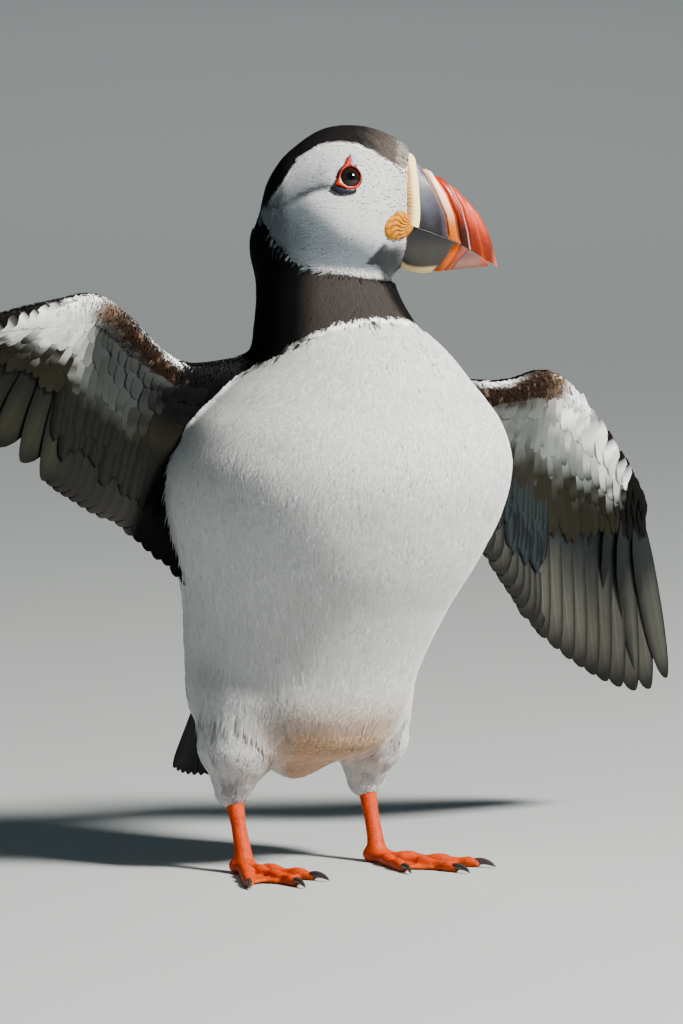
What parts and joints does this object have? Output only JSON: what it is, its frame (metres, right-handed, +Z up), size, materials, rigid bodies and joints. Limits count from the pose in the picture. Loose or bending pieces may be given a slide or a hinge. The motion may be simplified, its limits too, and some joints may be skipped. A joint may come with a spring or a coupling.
{
  "type": "atlantic puffin model",
  "caption": "Life-size Atlantic puffin standing upright on webbed feet, wings half open and head turned to its left, with a deep banded bill.",
  "frame": {"origin": "on the floor, at the middle of the bird's bounding box", "axes": "+X towards the bird's left wing, -Y the way the breast faces, +Z up"},
  "size_m": [0.3946, 0.1378, 0.2485],
  "materials": {
    "white_plumage": "soft white feathers",
    "black_plumage": "black-brown feathers with a faint sheen",
    "face_plumage": "short grey-white feathers",
    "wing_plumage": "smooth grey-brown flight feathers",
    "bill_orange": "smooth horn, orange-red",
    "bill_slate": "smooth horn, slate grey",
    "eye_plate": "dull horn, blue-grey",
    "eye": "wet gloss, dark brown",
    "cere": "pitted horn, cream",
    "rosette": "wrinkled bare skin, orange-yellow",
    "foot_skin": "scaly skin, orange-red",
    "claw": "dark horn"
  },
  "bodies": {
    "root": {"bill_lower": "bill_slate", "bill_upper": "bill_orange", "cere": "cere", "claw_left_1": "claw", "claw_left_2": "claw", "claw_left_3": "claw", "claw_right_1": "claw", "claw_right_2": "claw", "claw_right_3": "claw", "eye_left": "eye", "eye_plate_lower_left": "eye_plate", "eye_plate_lower_right": "eye_plate", "eye_plate_upper_left": "eye_plate", "eye_plate_upper_right": "eye_plate", "eye_right": "eye", "foot_left": "foot_skin", "foot_right": "foot_skin", "head": "face_plumage", "neck": "black_plumage", "rosette_left": "rosette", "rosette_right": "rosette", "shank_left": "foot_skin", "shank_right": "foot_skin", "tail": "black_plumage", "thigh_left": "white_plumage", "thigh_right": "white_plumage", "trunk": "white_plumage", "wing_left_arm": "wing_plumage", "wing_left_hand": "wing_plumage", "wing_left_primaries": "wing_plumage", "wing_left_secondaries": "wing_plumage", "wing_right_arm": "wing_plumage", "wing_right_hand": "wing_plumage", "wing_right_primaries": "wing_plumage", "wing_right_secondaries": "wing_plumage"}
  },
  "joints": []
}
